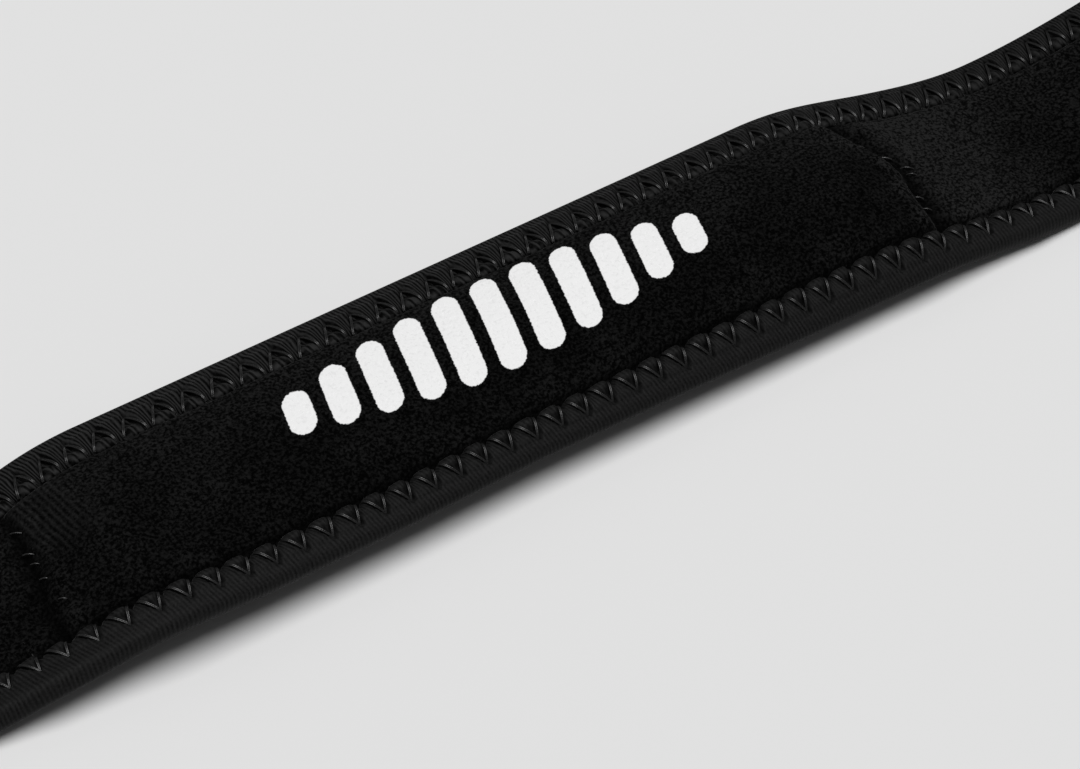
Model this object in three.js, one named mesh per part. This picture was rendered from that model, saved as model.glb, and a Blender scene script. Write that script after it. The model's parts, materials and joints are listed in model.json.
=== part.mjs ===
// A patella strap lying open, its plush face up: a padded neoprene band with a folded edge
// binding, a tubular pad under its middle and a hook tab under one end.
// Millimetres. X runs along the strap, Y across it, Z up from the surface it lies on.
import * as THREE from 'three';

// Outline of the strap
const strapLength = 440;
const middleWidth = 50;
const endWidth = 44.4;
const cornerRadius = 12;
const seamSpacing = 185;        // between the two cross seams that close off the pad

// Layers of the strap
const faceThickness = 5.2;      // band between the bindings
const edgeThickness = 5;        // over the folded binding
const tapeThickness = 1;
const farReach = 8.2;           // how far the binding reaches in from the far edge
const nearReach = 6.4;          // and from the near edge
const shoulderWidth = 1.6;      // over which the band swells beside the binding
const clearance = 0.3;

// How it lies
const rimLift = 7.3;            // underside of the rims beside the pad
const crownHeight = 3;          // middle above the rims, over the pad
const endRise = 14;             // both ends curl up this far
const seamDepth = 1.4;
const seamHalfWidth = 2.4;

// Pad
const padWidth = 34;
const padFootWidth = 26;        // its flat underside
const padSeamGap = 3;           // from the pad's end to the cross seam
const padEndRound = 10;
const padSideHeight = 4.2;      // where the pad is widest

// Hook tab
const tabLength = 60;
const tabWidth = 36;
const tabThickness = 1.6;
const tabCornerRadius = 5;
const tabEndInset = 5;

// Fineness of the mesh
const stationStep = 10;
const cornerSteps = 5;

const seamX = seamSpacing / 2;
const tailLength = strapLength / 2 - seamX;

// Underside of the strap along one half: each place is a share of the padded half and of the
// tail beyond its seam, each height a share of rimLift and endRise, taper of the narrowing.
const lieTable = [
  { ofPad: 0.00, ofTail: 0.00, ofLift: 1, ofRise: 0, taper: 0 },
  { ofPad: 0.78, ofTail: 0.00, ofLift: 1, ofRise: 0, taper: 0 },
  { ofPad: 1.00, ofTail: 0.25, ofLift: 0, ofRise: 0, taper: 1 },
  { ofPad: 1.00, ofTail: 1.00, ofLift: 0, ofRise: 1, taper: 1 },
];

// The crown over the pad ends just past its seam
const crownTable = [
  { ofPad: 0.86, ofTail: 0.00, ofCrown: 1 },
  { ofPad: 1.00, ofTail: 0.06, ofCrown: 0 },
];

const place = (row) => row.ofPad * seamX + row.ofTail * tailLength;

// A column's value at a distance from the middle, eased from row to row
function readTable(table, column, distance) {
  let next = table.findIndex((row) => place(row) > distance);
  if (next === -1) next = table.length;
  if (next === 0) return table[0][column];
  if (next === table.length) return table[next - 1][column];
  const low = table[next - 1];
  const high = table[next];
  const ease = THREE.MathUtils.smoothstep(distance, place(low), place(high));
  return THREE.MathUtils.lerp(low[column], high[column], ease);
}

function halfWidth(x) {
  const taper = readTable(lieTable, 'taper', Math.abs(x));
  return THREE.MathUtils.lerp(middleWidth, endWidth, taper) / 2;
}

// Height of the strap's underside above the table
function underside(x, y) {
  const distance = Math.abs(x);
  const lift = rimLift * readTable(lieTable, 'ofLift', distance);
  const rise = endRise * readTable(lieTable, 'ofRise', distance);
  const crown = crownHeight * readTable(crownTable, 'ofCrown', distance);
  const across = Math.min(1, Math.abs(y) / halfWidth(x));
  return lift + rise + crown * (1 - across * across);
}

function seamDent(x) {
  const offset = (Math.abs(x) - seamX) / seamHalfWidth;
  return -seamDepth * Math.exp(-offset * offset);
}

// Distances along one half of the strap, closer together at the cross seam
function halfStations(end) {
  const stations = [];
  const steps = Math.ceil(end / stationStep);
  for (let i = 0; i <= steps; i += 1) stations.push((end * i) / steps);
  const dentEnd = 3 * seamHalfWidth;
  const clear = stations.filter((x) => Math.abs(x - seamX) > dentEnd);
  for (let i = -4; i <= 4; i += 1) {
    const x = seamX + (dentEnd * i) / 4;
    if (x < end - 1) clear.push(x);
  }
  return clear.sort((a, b) => a - b);
}

// Closed outline with round corners, counterclockwise from above, each point with its inward
// normal, the binding's reach there and the point of the centre line that belongs to it
function makeOutline(length, widthAt, radius, stations) {
  const endX = length / 2;
  const endHalfWidth = widthAt(endX);
  const quarter = stations.map((x) => new THREE.Vector2(x, widthAt(x)));
  for (let i = 1; i <= cornerSteps; i += 1) {
    const angle = (Math.PI / 2) * (1 - i / cornerSteps);
    const x = endX - radius + radius * Math.cos(angle);
    quarter.push(new THREE.Vector2(x, endHalfWidth - radius + radius * Math.sin(angle)));
  }
  quarter.push(new THREE.Vector2(endX, 0));
  const back = [...quarter].reverse();
  const turn = (points, sx, sy) => points.map((p) => new THREE.Vector2(sx * p.x, sy * p.y));
  const loop = [
    ...turn(back, 1, 1).slice(0, -1),
    ...turn(quarter, -1, 1).slice(0, -1),
    ...turn(back, -1, -1).slice(0, -1),
    ...turn(quarter, 1, -1).slice(0, -1),
  ];
  const spineEnd = endX - endHalfWidth;
  const turnY = endHalfWidth - radius;
  return loop.map((point, i) => {
    const before = loop[(i + loop.length - 1) % loop.length];
    const after = loop[(i + 1) % loop.length];
    const along = after.clone().sub(before).normalize();
    return {
      x: point.x,
      y: point.y,
      inward: new THREE.Vector2(-along.y, along.x),
      reach: THREE.MathUtils.mapLinear(
        THREE.MathUtils.clamp(point.y, -turnY, turnY), -turnY, turnY, nearReach, farReach),
      spineX: THREE.MathUtils.clamp(point.x, -spineEnd, spineEnd),
    };
  });
}

// Collects triangles over shared corners and leaves out the ones that close up
function makeBody() {
  const corners = new Map();
  const positions = [];
  const triangles = [];
  const corner = (p) => {
    const key = `${p.x.toFixed(4)} ${p.y.toFixed(4)} ${p.z.toFixed(4)}`;
    if (!corners.has(key)) {
      corners.set(key, positions.length / 3);
      positions.push(p.x, p.y, p.z);
    }
    return corners.get(key);
  };
  const triangle = (a, b, c) => {
    const ids = [corner(a), corner(b), corner(c)];
    if (new Set(ids).size === 3) triangles.push(...ids);
  };
  const quad = (a, b, c, d) => {
    triangle(a, b, c);
    triangle(a, c, d);
  };
  const geometry = () => {
    const body = new THREE.BufferGeometry();
    body.setAttribute('position', new THREE.Float32BufferAttribute(positions, 3));
    body.setIndex(triangles);
    body.computeVertexNormals();
    return body;
  };
  return { triangle, quad, geometry };
}

// Joins rings of points, each to the next: both run counterclockwise from above on the way up
function joinRings(body, lower, upper) {
  for (let i = 0; i < lower.length; i += 1) {
    const j = (i + 1) % lower.length;
    body.quad(lower[i], lower[j], upper[j], upper[i]);
  }
}

// One ring around an outline: in from it by an inset, with the binding's reach added where the
// row says so, and then a share of the way to the centre line
function ringAt(outline, row) {
  return outline.map((station) => {
    const depth = row.inset + (row.pastBinding ? station.reach : 0);
    const inset = station.inward.clone().multiplyScalar(depth);
    const x = THREE.MathUtils.lerp(station.x + inset.x, station.spineX, row.toCentre ?? 0);
    const y = THREE.MathUtils.lerp(station.y + inset.y, 0, row.toCentre ?? 0);
    const dent = (row.dent ?? 0) * seamDent(x);
    return new THREE.Vector3(x, y, underside(x, y) + row.height + dent);
  });
}

// The neoprene band: thin inside the binding, full between, with a dent at each cross seam
function bandGeometry(outline) {
  const edge = tapeThickness + clearance;
  const lowEdge = tapeThickness + clearance;
  const highEdge = edgeThickness - tapeThickness - clearance;
  const middle = (lowEdge + highEdge) / 2;
  const bevel = (highEdge - lowEdge) / 4;
  const slope = clearance + shoulderWidth;
  const top = faceThickness;
  const rows = [
    { inset: slope, pastBinding: true, height: 0, toCentre: 1 },
    { inset: slope, pastBinding: true, height: 0, toCentre: 0.5 },
    { inset: slope, pastBinding: true, height: 0 },
    { inset: clearance + shoulderWidth * 0.3, pastBinding: true, height: lowEdge * 0.3 },
    { inset: clearance, pastBinding: true, height: lowEdge },
    { inset: edge + 2 * bevel, height: lowEdge },
    { inset: edge, height: middle - bevel },
    { inset: edge, height: middle + bevel },
    { inset: edge + 2 * bevel, height: highEdge },
    { inset: clearance, pastBinding: true, height: highEdge, dent: 0.3 },
    { inset: clearance + shoulderWidth * 0.3, pastBinding: true, height: top - 0.4, dent: 0.6 },
    { inset: slope, pastBinding: true, height: top, dent: 0.9 },
    { inset: slope, pastBinding: true, height: top, dent: 1, toCentre: 0.35 },
    { inset: slope, pastBinding: true, height: top, dent: 1, toCentre: 0.7 },
    { inset: slope, pastBinding: true, height: top, dent: 1, toCentre: 1 },
  ];
  const body = makeBody();
  const rings = rows.map((row) => ringAt(outline, row));
  for (let i = 1; i < rings.length; i += 1) joinRings(body, rings[i - 1], rings[i]);
  return body.geometry();
}

// The binding: one tape folded over the edge all the way round
function bindingGeometry(outline) {
  const t = tapeThickness;
  const full = edgeThickness;
  const fold = full / 2;
  const section = [
    { inset: 0, pastBinding: true, height: t },
    { inset: 0, pastBinding: true, height: 0 },
    { inset: fold * 0.9, height: 0 },
    { inset: fold * 0.25, height: fold * 0.2 },
    { inset: 0, height: fold * 0.65 },
    { inset: 0, height: full - fold * 0.65 },
    { inset: fold * 0.25, height: full - fold * 0.2 },
    { inset: fold * 0.9, height: full },
    { inset: 0, pastBinding: true, height: full },
    { inset: 0, pastBinding: true, height: full - t },
    { inset: t + 0.5, height: full - t },
    { inset: t, height: full - t - 0.6 },
    { inset: t, height: t + 0.6 },
    { inset: t + 0.5, height: t },
  ];
  const body = makeBody();
  const rings = section.map((row) => ringAt(outline, row));
  rings.forEach((ring, i) => joinRings(body, ring, rings[(i + 1) % rings.length]));
  return body.geometry();
}

// The pad: a tube with a flat foot that fills the space under the crowned middle
function padGeometry() {
  const endX = seamX - padSeamGap;
  const stations = halfStations(endX).filter((x) => x < endX - padEndRound);
  for (const share of [1, 0.7, 0.45, 0.2, 0.05]) stations.push(endX - padEndRound * share);
  const xs = [...stations.slice(1).reverse().map((x) => -x), ...stations];
  const overSteps = 10;
  const sections = xs.map((x) => {
    const run = Math.min(1, (endX - Math.abs(x)) / padEndRound);
    const round = Math.sqrt(1 - (1 - run) * (1 - run));
    const narrow = 0.75 + 0.25 * round;
    const section = [
      new THREE.Vector3(x, (-padFootWidth / 2) * narrow, 0),
      new THREE.Vector3(x, (padFootWidth / 2) * narrow, 0),
    ];
    for (let i = 0; i <= overSteps; i += 1) {
      const angle = (Math.PI * i) / overSteps;
      const y = (padWidth / 2) * narrow * Math.cos(angle);
      const top = underside(x, y) - clearance;
      const side = Math.min(padSideHeight, top * 0.6) * (0.4 + 0.6 * round);
      const height = side + (top - side) * Math.sqrt(Math.sin(angle)) * round;
      section.push(new THREE.Vector3(x, y, height));
    }
    return section;
  });
  const body = makeBody();
  for (let i = 1; i < sections.length; i += 1) joinRings(body, sections[i - 1], sections[i]);
  const [first] = sections;
  const last = sections[sections.length - 1];
  for (let i = 2; i < first.length; i += 1) {
    body.triangle(first[0], first[i], first[i - 1]);
    body.triangle(last[0], last[i - 1], last[i]);
  }
  return body.geometry();
}

// The hook tab: a thin plate that follows the strap's underside at one end
function tabGeometry() {
  const centreX = -(strapLength / 2 - tabEndInset - tabLength / 2);
  const stations = [];
  const end = tabLength / 2 - tabCornerRadius;
  for (let i = 0; i <= 3; i += 1) stations.push((end * i) / 3);
  const outline = makeOutline(tabLength, () => tabWidth / 2, tabCornerRadius, stations);
  const rows = [
    { inset: 0, height: -tabThickness, toCentre: 1 },
    { inset: 0, height: -tabThickness },
    { inset: 0, height: 0 },
    { inset: 0, height: 0, toCentre: 1 },
  ];
  const rings = rows.map((row) => outline.map((station) => {
    const y = THREE.MathUtils.lerp(station.y, 0, row.toCentre ?? 0);
    const x = centreX + THREE.MathUtils.lerp(station.x, station.spineX, row.toCentre ?? 0);
    return new THREE.Vector3(x, y, underside(x, y) - clearance + row.height);
  }));
  const body = makeBody();
  for (let i = 1; i < rings.length; i += 1) joinRings(body, rings[i - 1], rings[i]);
  return body.geometry();
}

function piece(name, geometry, color, roughness) {
  const material = new THREE.MeshStandardMaterial({ color, roughness, metalness: 0 });
  const mesh = new THREE.Mesh(geometry, material);
  mesh.name = name;
  return mesh;
}

const strapOutline = makeOutline(
  strapLength,
  halfWidth,
  cornerRadius,
  halfStations(strapLength / 2 - cornerRadius),
);

const patellaStrap = new THREE.Group();
patellaStrap.name = 'patella_strap';
patellaStrap.add(piece('band', bandGeometry(strapOutline), 0x0c0c0d, 0.95));
patellaStrap.add(piece('edge_binding', bindingGeometry(strapOutline), 0x1d1d1f, 0.8));
patellaStrap.add(piece('pad', padGeometry(), 0x161617, 0.9));
patellaStrap.add(piece('hook_tab', tabGeometry(), 0x121213, 0.7));

export default patellaStrap;
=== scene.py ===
# Patella strap lying open, plush face up: plush neoprene band, ribbed edge tape with its zigzag
# row, pad and hook tab beneath. Shapes are worked out in millimetres and written in metres.
import json
import math

import bmesh
import bpy
import numpy as np
from mathutils import Matrix, Vector

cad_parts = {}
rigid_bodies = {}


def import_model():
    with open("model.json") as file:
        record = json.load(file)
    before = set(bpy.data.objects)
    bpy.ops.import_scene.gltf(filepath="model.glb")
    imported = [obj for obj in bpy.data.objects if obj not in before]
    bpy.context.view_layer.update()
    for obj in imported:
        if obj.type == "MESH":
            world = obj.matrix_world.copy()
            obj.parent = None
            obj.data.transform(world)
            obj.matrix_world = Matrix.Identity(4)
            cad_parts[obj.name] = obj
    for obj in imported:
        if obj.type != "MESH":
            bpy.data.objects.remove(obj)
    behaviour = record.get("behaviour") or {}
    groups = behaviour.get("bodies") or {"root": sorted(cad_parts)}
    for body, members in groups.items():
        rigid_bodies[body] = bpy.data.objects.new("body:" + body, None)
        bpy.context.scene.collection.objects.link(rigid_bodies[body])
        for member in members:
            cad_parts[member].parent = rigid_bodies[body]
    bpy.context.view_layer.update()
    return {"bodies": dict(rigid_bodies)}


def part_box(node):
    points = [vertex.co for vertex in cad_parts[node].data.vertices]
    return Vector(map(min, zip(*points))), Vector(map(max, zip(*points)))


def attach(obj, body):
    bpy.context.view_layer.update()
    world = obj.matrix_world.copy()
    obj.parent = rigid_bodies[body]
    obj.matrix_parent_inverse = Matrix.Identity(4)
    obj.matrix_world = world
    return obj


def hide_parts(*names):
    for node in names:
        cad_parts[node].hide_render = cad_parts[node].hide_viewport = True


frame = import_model()
mm = 0.001
tapeLow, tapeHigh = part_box("edge_binding")
padLow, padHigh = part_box("pad")
tabLow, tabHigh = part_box("hook_tab")
print("frame loaded")

strap = {
    "length": (tapeHigh.x - tapeLow.x) / mm,
    "middleWidth": (tapeHigh.y - tapeLow.y) / mm,
    "endWidth": 44.4,
    "cornerRadius": 12.0,
    "seamSpacing": 185.0,
    "rimLift": 7.3,  # underside of the rims beside the pad
    "crown": 3.0,  # middle above the rims, over the pad
    "endRise": 14.0,
    "fallStart": 0.78,  # share of the padded half where the strap starts to drop
    "trough": 0.25,  # share of the tail where it touches the table
    "crownEnd": (0.86, 0.06),  # shares of the padded half and of the tail
    "edgeThickness": 5.0,
    "faceThickness": 5.2,
    "clearance": 0.3,
    "outlineSteps": (1200, 120, 40),
    "endPitch": 5.2,  # stitches round the two ends
    "notchShift": (0.19, 0.09),  # notches stand off the middle between stitches, near and far
}
seamX = strap["seamSpacing"] / 2
tailLength = strap["length"] / 2 - seamX


def ease(low, high, x):
    t = np.clip((x - low) / (high - low), 0, 1)
    return t * t * (3 - 2 * t)


def bell(x, width):
    return np.exp(-(x / width) ** 2)


# A pair of values, near and far, at a share of the way from the near side to the far one
def bySide(pair, side):
    near, far = pair
    return near + (far - near) * side


def fallShare(x):
    start = strap["fallStart"] * seamX
    return ease(start, seamX + strap["trough"] * tailLength, np.abs(x))


def halfWidth(x):
    return (strap["middleWidth"] + (strap["endWidth"] - strap["middleWidth"]) * fallShare(x)) / 2


# How the near rim hangs: where along the strap, how far down, and how far it tucks in
nearRim = {"x": (-150, -124, -103, -89, -61, -32, -3, 28, 59, 75, 92, 110, 119, 160),
           "drop": (0, -1.6, -3.2, -1.5, 1.0, 1.8, 2.3, 3.3, 4.6, 5.0, 3.2, 0.5, 0, 0),
           "tuck": (0, -0.4, -0.9, -0.2, 0.2, 0.8, 1.9, 2.3, 2.7, 2.9, 2.0, 0.1, 0, 0)}
farTuck = 0.9


# Share of the way from the centre line to the rim, below zero on the near half
def acrossShare(x, y):
    tuck = np.where(y < 0, np.interp(x, nearRim["x"], nearRim["tuck"]), farTuck)
    return np.clip(y / (halfWidth(x) - tuck), -1, 1)


def underside(x, y):
    distance = np.abs(x)
    lift = strap["rimLift"] * (1 - fallShare(x))
    rise = strap["endRise"] * ease(seamX + strap["trough"] * tailLength, strap["length"] / 2, distance)
    padShare, tailShare = strap["crownEnd"]
    crown = strap["crown"] * (1 - ease(padShare * seamX, seamX + tailShare * tailLength, distance))
    across = acrossShare(x, y)
    drop = np.interp(x, nearRim["x"], nearRim["drop"]) * np.clip(-across, 0, 1) ** 3
    return lift + rise + crown * (1 - across * across) - drop


# A point at a height over the underside; the section leans with the slope about its mid-thickness
def surfacePlace(x, y, height):
    probe = 0.5
    inner = y * (1 - probe / halfWidth(x))
    slopeX = (underside(x + probe, y) - underside(x - probe, y)) / (2 * probe)
    slopeY = (underside(x, inner + probe) - underside(x, inner - probe)) / (2 * probe)
    middle = strap["edgeThickness"] / 2
    lean = (height - middle) / np.sqrt(1 + slopeX ** 2 + slopeY ** 2)
    return np.stack([x - slopeX * lean, y - slopeY * lean, underside(x, y) + middle + lean], axis=1)


# How far the tape reaches in from each edge
tapeReach = {"x": (-220, -103, -89, -61, -32, -3, 28, 59, 92, 110, 135, 220),
             "near": (7.6, 8.7, 8.2, 7.0, 6.7, 6.5, 6.8, 6.9, 6.6, 6.8, 6.6, 6.4),
             "far": (8.2, 8.4, 8.4, 8.1, 8.0, 8.0, 7.8, 7.5, 7.0, 6.8, 6.7, 7.2)}


tape = {
    "thickness": 1.0,
    "under": 7.4,  # reach on the underside
    "armLength": (3.5, 5.1),  # needle hole to inner edge, on the near and the far row
    "armSpread": (0.7, 0.8),  # share of the way to the notch that an arm has gained there
    "lobe": 1.3,  # how far the scalloped edge draws back at each notch
    "lobeHeight": 0.5,  # relief of the face: between a stitch's arms, between stitches,
    "betweenHeight": 0.35,  # along the arms and at the needle hole
    "grooveDepth": 0.35,
    "hollowDepth": 0.75,
    "recessShade": (0.45, 0.5, 0.7),  # painted shade in the hollow, the groove and the notch
    "settle": 0.5,  # fall of the face from the fold to the inner edge
    "square": (0.8, 0.5),  # roundness of the folded rim, near and far: less is squarer
    "fold": (2.3, 1.5),  # how far in the rim's round reaches, near and far
    "ribPitch": 0.815,
    "ribSlant": 0.22,
    "fan": 1.3,  # ribs drawn together at each notch
    "fanWidth": 2.2,
    "stations": (0, 0.18, 0.36, 0.52, 0.67, 0.8, 0.9, 1, -0.9, -0.8, -0.67, -0.52, -0.36, -0.18),
    "roundSteps": 9,
    "topSteps": 18,
}


# The strap's outline as a fine loop, counterclockwise from above, starting at the +X end
def makePath():
    radius = strap["cornerRadius"]
    endX = strap["length"] / 2
    endHalf = strap["endWidth"] / 2
    turnY = endHalf - radius
    sideSteps, cornerSteps, endSteps = strap["outlineSteps"]
    x = np.linspace(0, endX - radius, sideSteps)
    angle = np.linspace(np.pi / 2, 0, cornerSteps)[1:]
    quarterX = np.concatenate([x, endX - radius + radius * np.cos(angle), np.full(endSteps, endX)])
    quarterY = np.concatenate([halfWidth(x), turnY + radius * np.sin(angle),
                               np.linspace(turnY, 0, endSteps + 1)[1:]])
    loopX = np.concatenate([quarterX[::-1], -quarterX[1:], -quarterX[::-1][1:], quarterX[1:]])
    loopY = np.concatenate([quarterY[::-1], quarterY[1:], -quarterY[::-1][1:], -quarterY[1:]])
    travel = np.concatenate([[0], np.cumsum(np.hypot(np.diff(loopX), np.diff(loopY)))])
    return {"x": loopX, "y": loopY, "travel": travel, "perimeter": travel[-1]}


path = makePath()


# Stations at the given distances round the outline
def makeOutline(at):
    perimeter = path["perimeter"]
    probe = 0.3

    def place(travel):
        travel = np.mod(travel, perimeter)
        x = np.interp(travel, path["travel"], path["x"])
        y = np.interp(travel, path["travel"], path["y"])
        share = y / halfWidth(x)
        tuck = np.interp(x, nearRim["x"], nearRim["tuck"]) * ease(0, 1, -share)
        return x, y + tuck - farTuck * ease(0, 1, share)

    x, y = place(at)
    aheadX, aheadY = place(at + probe)
    behindX, behindY = place(at - probe)
    alongX = aheadX - behindX
    alongY = aheadY - behindY
    size = np.hypot(alongX, alongY)
    endHalf = strap["endWidth"] / 2
    turnY = endHalf - strap["cornerRadius"]
    spineEnd = strap["length"] / 2 - endHalf
    side = (np.clip(y / turnY, -1, 1) + 1) / 2
    reaches = [np.interp(x, tapeReach["x"], tapeReach[row]) for row in ("near", "far")]
    return {"travel": at, "x": x, "y": y, "inX": -alongY / size, "inY": alongX / size, "side": side,
            "spineX": np.clip(x, -spineEnd, spineEnd), "reach": bySide(reaches, side),
            "armLength": bySide(tape["armLength"], side), "armSpread": bySide(tape["armSpread"], side)}


# The needle holes: places along the strap and the stitches counted to each. The outline runs back along the
# far row and then out along the near one.
farRow = {"x": (148.5, 58.9, 28.2, -26.4, -75.5), "stitches": (0, 18, 24, 34, 42)}
nearRow = {"x": (-109.5, -46.3, 51.9, 120.6), "stitches": (0, 11, 29, 42)}


def stitchPlaces():
    middle = len(path["travel"]) // 2
    far = np.interp(-np.array(farRow["x"]), -path["x"][:middle], path["travel"][:middle])
    near = np.interp(nearRow["x"], path["x"][middle:], path["travel"][middle:])
    around = far[0] + path["perimeter"]
    nearStart = farRow["stitches"][-1] + round((near[0] - far[-1]) / strap["endPitch"])
    nearEnd = nearStart + nearRow["stitches"][-1]
    total = nearEnd + round((around - near[-1]) / strap["endPitch"])
    counts = np.concatenate([farRow["stitches"], np.add(nearRow["stitches"], nearStart), [total]])
    return np.interp(np.arange(total), counts, np.concatenate([far, near, [around]]))


stitchTravel = stitchPlaces()


# Share of the gap after a stitch at which the tape's notch stands, further left in both rows
def notchPlace(travel):
    side = makeOutline(travel)["side"]
    near, far = strap["notchShift"]
    return 0.5 - near * (1 - side) + far * side


# Place between stitches: signed share, 0 at a stitch and 1 or -1 at a notch, distance from the
# stitch, and distance from that stitch to the notch
def stitchGrid(travel):
    perimeter = path["perimeter"]
    places = np.concatenate([stitchTravel - perimeter, stitchTravel, stitchTravel + perimeter])
    index = np.clip(np.searchsorted(places, travel, side="right"), 1, len(places) - 1)
    start = places[index - 1]
    gap = places[index] - start
    notch = notchPlace(start)
    before = travel - start <= notch * gap
    half = gap * np.where(before, notch, 1 - notch)
    offset = np.where(before, travel - start, travel - start - gap)
    return {"share": offset / half, "offset": offset, "half": half}


# Stitches counted round the outline up to each distance
def stitchesUpTo(travel):
    ends = np.append(stitchTravel, stitchTravel[0] + path["perimeter"])
    return np.interp(travel, ends, np.arange(len(ends)))


# Stations at the same signed shares round every stitch
def stitchStations(shares):
    following = np.append(stitchTravel[1:], stitchTravel[0] + path["perimeter"])
    gaps = (following - stitchTravel)[:, None]
    notches = notchPlace(stitchTravel)[:, None]
    shares = np.array(shares)[None, :]
    partOfGap = np.where(shares >= 0, shares * notches, 1 + shares * (1 - notches))
    return (stitchTravel[:, None] + gaps * partOfGap).ravel()


# A closed or open grid of rings as a mesh; ring r's points follow each other round the outline
def meshFromRings(name, rings, closedAcross):
    ringCount = len(rings)
    stationCount = len(rings[0])
    points = np.concatenate(rings) * mm
    faces = []
    last = ringCount if closedAcross else ringCount - 1
    for r in range(last):
        low = r * stationCount
        high = ((r + 1) % ringCount) * stationCount
        for i in range(stationCount):
            j = (i + 1) % stationCount
            faces.append((low + i, low + j, high + j, high + i))
    mesh = bpy.data.meshes.new(name)
    mesh.from_pydata(points.tolist(), [], faces)
    mesh.update()
    return mesh


def finishMesh(mesh, mergeDistance=0.0):
    if mergeDistance > 0:
        work = bmesh.new()
        work.from_mesh(mesh)
        bmesh.ops.remove_doubles(work, verts=work.verts, dist=mergeDistance * mm)
        bmesh.ops.recalc_face_normals(work, faces=work.faces)
        work.to_mesh(mesh)
        work.free()
    mesh.polygons.foreach_set("use_smooth", [True] * len(mesh.polygons))
    mesh.update()


def addAttribute(mesh, name, values, kind="FLOAT"):
    layer = mesh.attributes.new(name, kind, "POINT")
    slot = "value" if kind == "FLOAT" else "vector"
    layer.data.foreach_set(slot, np.asarray(values, dtype=np.float32).ravel())


def cornerVertices(mesh):
    corner = np.zeros(len(mesh.loops), dtype=np.int32)
    mesh.loops.foreach_get("vertex_index", corner)
    return corner


def addObject(name, mesh):
    item = bpy.data.objects.new(name, mesh)
    bpy.context.scene.collection.objects.link(item)
    return item


# Shader maths: a wire is one socket that Python's operators work on
class Wire:
    def __init__(self, tree, socket):
        self.tree = tree
        self.socket = socket

    def math(self, operation, *others):
        return self.node("ShaderNodeMath", {"operation": operation}, [self, *others])

    def node(self, kind, settings, inputs, output=0):
        return addNode(self.tree, kind, settings, inputs, output)

    def __add__(self, other):
        return self.math("ADD", other)

    def __radd__(self, other):
        return self.math("ADD", other)

    def __sub__(self, other):
        return self.math("SUBTRACT", other)

    def __rsub__(self, other):
        return addNode(self.tree, "ShaderNodeMath", {"operation": "SUBTRACT"}, [other, self])

    def __mul__(self, other):
        return self.math("MULTIPLY", other)

    def __rmul__(self, other):
        return self.math("MULTIPLY", other)

    def __truediv__(self, other):
        return self.math("DIVIDE", other)

    def ramp(self, low, high):  # 0 below low, 1 above high, eased between
        settings = {"interpolation_type": "SMOOTHSTEP"}
        return self.node("ShaderNodeMapRange", settings, {"Value": self, "From Min": low, "From Max": high})


def addNode(tree, kind, settings, inputs, output=0):
    node = tree.nodes.new(kind)
    for key, value in settings.items():
        if key == "stops":
            while len(node.color_ramp.elements) < len(value):
                node.color_ramp.elements.new(1)
            for element, (place, colour) in zip(node.color_ramp.elements, value):
                element.position = place
                element.color = colour
        else:
            setattr(node, key, value)
    pairs = inputs.items() if isinstance(inputs, dict) else enumerate(inputs)
    for key, value in pairs:
        if isinstance(value, Wire):
            tree.links.new(value.socket, node.inputs[key])
        else:
            node.inputs[key].default_value = value
    return Wire(tree, node.outputs[output])


def objectPlace(tree):
    return addNode(tree, "ShaderNodeTexCoord", {}, {}, "Object")


def noise(tree, place, scale, detail=2.0, roughness=0.5):
    inputs = {"Vector": place, "Scale": scale, "Detail": detail, "Roughness": roughness}
    return addNode(tree, "ShaderNodeTexNoise", {}, inputs)


def meshShade(tree, name):  # a piece's own attribute
    return addNode(tree, "ShaderNodeAttribute", {"attribute_name": name}, {}, "Fac")


def newMaterial(name, viewColour):
    material = bpy.data.materials.new(name)
    material.use_nodes = True
    material.diffuse_color = (*viewColour, 1)
    material.node_tree.nodes.clear()
    return material, material.node_tree


# Principled surface with a bump; fixed numbers sit on its own sockets
def finishMaterial(tree, inputs, bump=None, strength=1.0, distance=0.0002):
    if bump is not None:
        settings = {"Strength": strength, "Distance": distance, "Height": bump}
        inputs = {**inputs, "Normal": addNode(tree, "ShaderNodeBump", {}, settings)}
    surface = addNode(tree, "ShaderNodeBsdfPrincipled", {}, inputs)
    output = tree.nodes.new("ShaderNodeOutputMaterial")
    tree.links.new(surface.socket, output.inputs["Surface"])


def mixColour(tree, factor, first, second, mode="MIX"):
    node = tree.nodes.new("ShaderNodeMix")
    node.data_type = "RGBA"
    node.blend_type = mode
    ends = [(0, factor), (6, first), (7, second)]
    for index, value in ends:
        if isinstance(value, Wire):
            tree.links.new(value.socket, node.inputs[index])
        else:
            node.inputs[index].default_value = value
    return Wire(tree, node.outputs[2])


def grey(value, warm=0.0):
    return (value * (1 + warm), value, value * (1 - warm), 1)


# Printed motif: a row of leaning bars whose heights swell towards the middle
motif = {
    "left": -41.8,
    "right": 51.2,
    "middleY": 3.4,
    "bars": 11,
    "barWidth": 5.6,
    "lean": 0.28,
    "tall": 22.5,
    "short": 8.0,
    "edgeBlur": 0.1,
}

plush = {
    "dark": 0.001,
    "light": 0.0175,
    "ink": 0.9,
    "grain": 0.0006,
    "bump": 0.0003,
    "sheen": 0.05,
    "grooveWidth": 1.7,  # width of the painted shade in the pile beside the tape
    "wrinkles": 1.2,  # spacing of the creases beside the left seam
    # painted highlight on the ridges beside the cross seams
    "ridgeHighlight": 0.6,
    "farSheen": 0.42,  # painted sheen: pile lighter on the far half and past the right seam
    "tailSheen": 0.75,
    "patchy": 0.22,
}


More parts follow.
